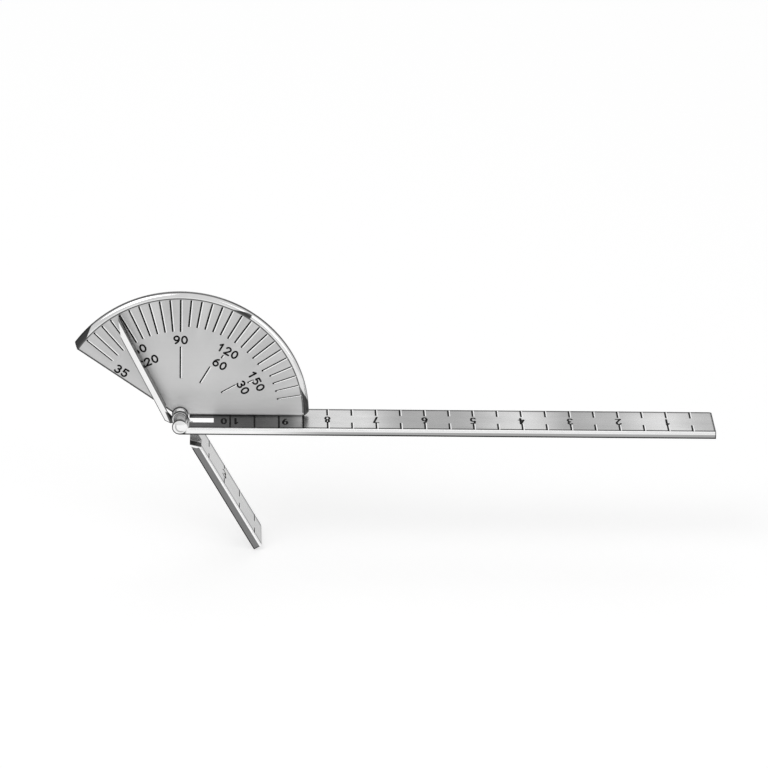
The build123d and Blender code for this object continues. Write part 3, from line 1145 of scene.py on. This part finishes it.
@dataclass(frozen=True)
class Studio:
    """Camera, lamps, floor and world.

    The camera's angles are in degrees, its distance, aim and the floor's height in mm, and its
    focal length in pixels of the square image. The floor's side is in metres.
    """

    azimuth: float = -2.0
    elevation: float = 21.0
    roll: float = 1.2
    distance: float = 1000.0
    focal: float = 4902.0
    aim: Triple = (41.58, 0.0, 9.87)
    image: int = 768
    sensor: float = 36.0
    clip: Pair = (0.01, 20.0)
    floor: float = -27.4
    floor_side: float = 12.0
    floor_tone: float = 0.59
    floor_grain: float = 0.02
    floor_glow: float = 0.56
    sky_light: float = 0.48
    sky_mirrored: float = 0.8
    lamp_target: Triple = (0.04, 0.005, 0.0)
    lamps: tuple[Lamp, ...] = (
        Lamp("key_lamp", (-0.5, -0.5, 0.9), 0.7, 3.2),
        Lamp("fill_lamp", (0.8, -0.7, 0.5), 0.8, 1.6),
        Lamp("back_lamp", (0.1, 0.8, 0.8), 0.8, 1.4),
    )

    def camera(self) -> None:
        """Aim the camera from its azimuth and elevation, then roll it about its own axis."""
        turn, rise = math.radians(self.azimuth), math.radians(self.elevation)
        level = math.cos(rise)
        back = Vector((math.sin(turn) * level, -math.cos(turn) * level, math.sin(rise)))
        data = bpy.data.cameras.new("camera")
        data.sensor_width = self.sensor
        data.lens = self.sensor * self.focal / self.image
        data.clip_start, data.clip_end = self.clip
        camera = bpy.data.objects.new("camera", data)
        look = (-back).to_track_quat("-Z", "Y").to_matrix().to_4x4()
        camera.matrix_world = (
            Matrix.Translation((Vector(self.aim) + back * self.distance) * MM)
            @ look
            @ Matrix.Rotation(math.radians(self.roll), 4, "Z")
        )
        bpy.context.scene.collection.objects.link(camera)
        bpy.context.scene.camera = camera

    @staticmethod
    def seen(graph: Graph) -> Tone:
        """1 for rays that show the background: camera, glossy and transmission rays."""
        outputs = graph.node("ShaderNodeLightPath").output.node.outputs
        names = ("Is Camera Ray", "Is Glossy Ray", "Is Transmission Ray")
        camera, glossy, through = (Tone(graph, outputs[name]) for name in names)
        return camera.top(glossy).top(through)

    def ground(self) -> None:
        """Lay the pale floor: a glow for seen rays, added to a surface that takes the shadow."""
        corners = np.array([(-1, -1), (1, -1), (1, 1), (-1, 1)]) * (self.floor_side / 2)
        points = np.hstack([corners, np.full((4, 1), self.floor * MM)])
        graph = Graph("floor_white")
        grain = graph.noise(graph.place(), 3.0, 2.0)
        white = graph.colour(self.floor_tone + self.floor_grain * grain)
        plain = graph.shader("ShaderNodeBsdfDiffuse", {"Color": white})
        glow = graph.shader(
            "ShaderNodeEmission",
            {"Color": (*WHITE, 1.0), "Strength": self.seen(graph) * self.floor_glow},
        )
        both = graph.shader("ShaderNodeAddShader", {0: plain, 1: glow})
        floor = solid_piece("floor", points, [[0, 1, 2, 3]], graph.finish(both))

    def world(self) -> None:
        """White world for the camera, pale grey for mirrors and a soft grey for light."""
        world = bpy.data.worlds.new("world")
        bpy.context.scene.world = world
        world.use_nodes = True
        tree = world.node_tree
        tree.nodes.clear()
        path = tree.nodes.new("ShaderNodeLightPath")
        mirrored = tree.nodes.new("ShaderNodeMath")
        mirrored.operation = "MAXIMUM"
        tree.links.new(path.outputs["Is Glossy Ray"], mirrored.inputs[0])
        tree.links.new(path.outputs["Is Transmission Ray"], mirrored.inputs[1])
        level = tree.nodes.new("ShaderNodeMapRange")
        level.inputs["To Min"].default_value = self.sky_light
        level.inputs["To Max"].default_value = self.sky_mirrored
        tree.links.new(mirrored.outputs[0], level.inputs["Value"])
        seen = tree.nodes.new("ShaderNodeMath")
        seen.operation = "MAXIMUM"
        tree.links.new(path.outputs["Is Camera Ray"], seen.inputs[0])
        tree.links.new(level.outputs[0], seen.inputs[1])
        glow = tree.nodes.new("ShaderNodeBackground")
        glow.inputs["Color"].default_value = (*WHITE, 1.0)
        tree.links.new(seen.outputs[0], glow.inputs["Strength"])
        end = tree.nodes.new("ShaderNodeOutputWorld")
        tree.links.new(glow.outputs[0], end.inputs["Surface"])

    def build(self) -> None:
        """Set up everything that isn't the object."""
        bpy.context.scene.view_settings.view_transform = "Standard"
        self.camera()
        self.ground()
        self.world()
        for lamp in self.lamps:
            lamp.hang(self.lamp_target)


def dress(frame: dict, name: str, finish: bpy.types.Material) -> None:
    """Give a CAD node its material in every slot of its object."""
    for slot in frame["nodes"][name].material_slots:
        slot.material = finish
    LOG.info("%s: %s", name, finish.name)


def lip_steel() -> bpy.types.Material:
    """Steel of the raised lips beside each tick, painted bright as a highlight on each mark's edge.
    """
    graph = Graph("lip_highlight_steel")
    # painted highlight: the lips are brighter than the steel they lie on
    shine = graph.noise(graph.place(), 700.0, 3.0)
    return SteelFinish(roughness=0.2).dress(graph, 0.85 + 0.2 * shine)


def main() -> None:
    """Load the frame, dress its nodes, add the scales and set up the studio."""
    logging.basicConfig(level=logging.INFO, format="%(name)s: %(message)s")
    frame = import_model()
    Studio().build()

    blade, plate, short, pointer = FixedBlade(), Protractor(), MovingBlade(), Pointer()
    dress(frame, "fixed_blade", blade.steel())
    dress(frame, "protractor_plate", plate.steel())
    dress(frame, "moving_blade", short.steel())
    dress(frame, "pointer", pointer.steel())
    for turned in TURNED_PIECES:
        dress(frame, turned.node, turned.steel())

    paint, bright = PaintFinish().dress(Graph("scale_paint")), lip_steel()
    for part in (blade, plate, short):
        part.marks(paint, bright)
    short.build_step()


if __name__ == "__main__":
    main()
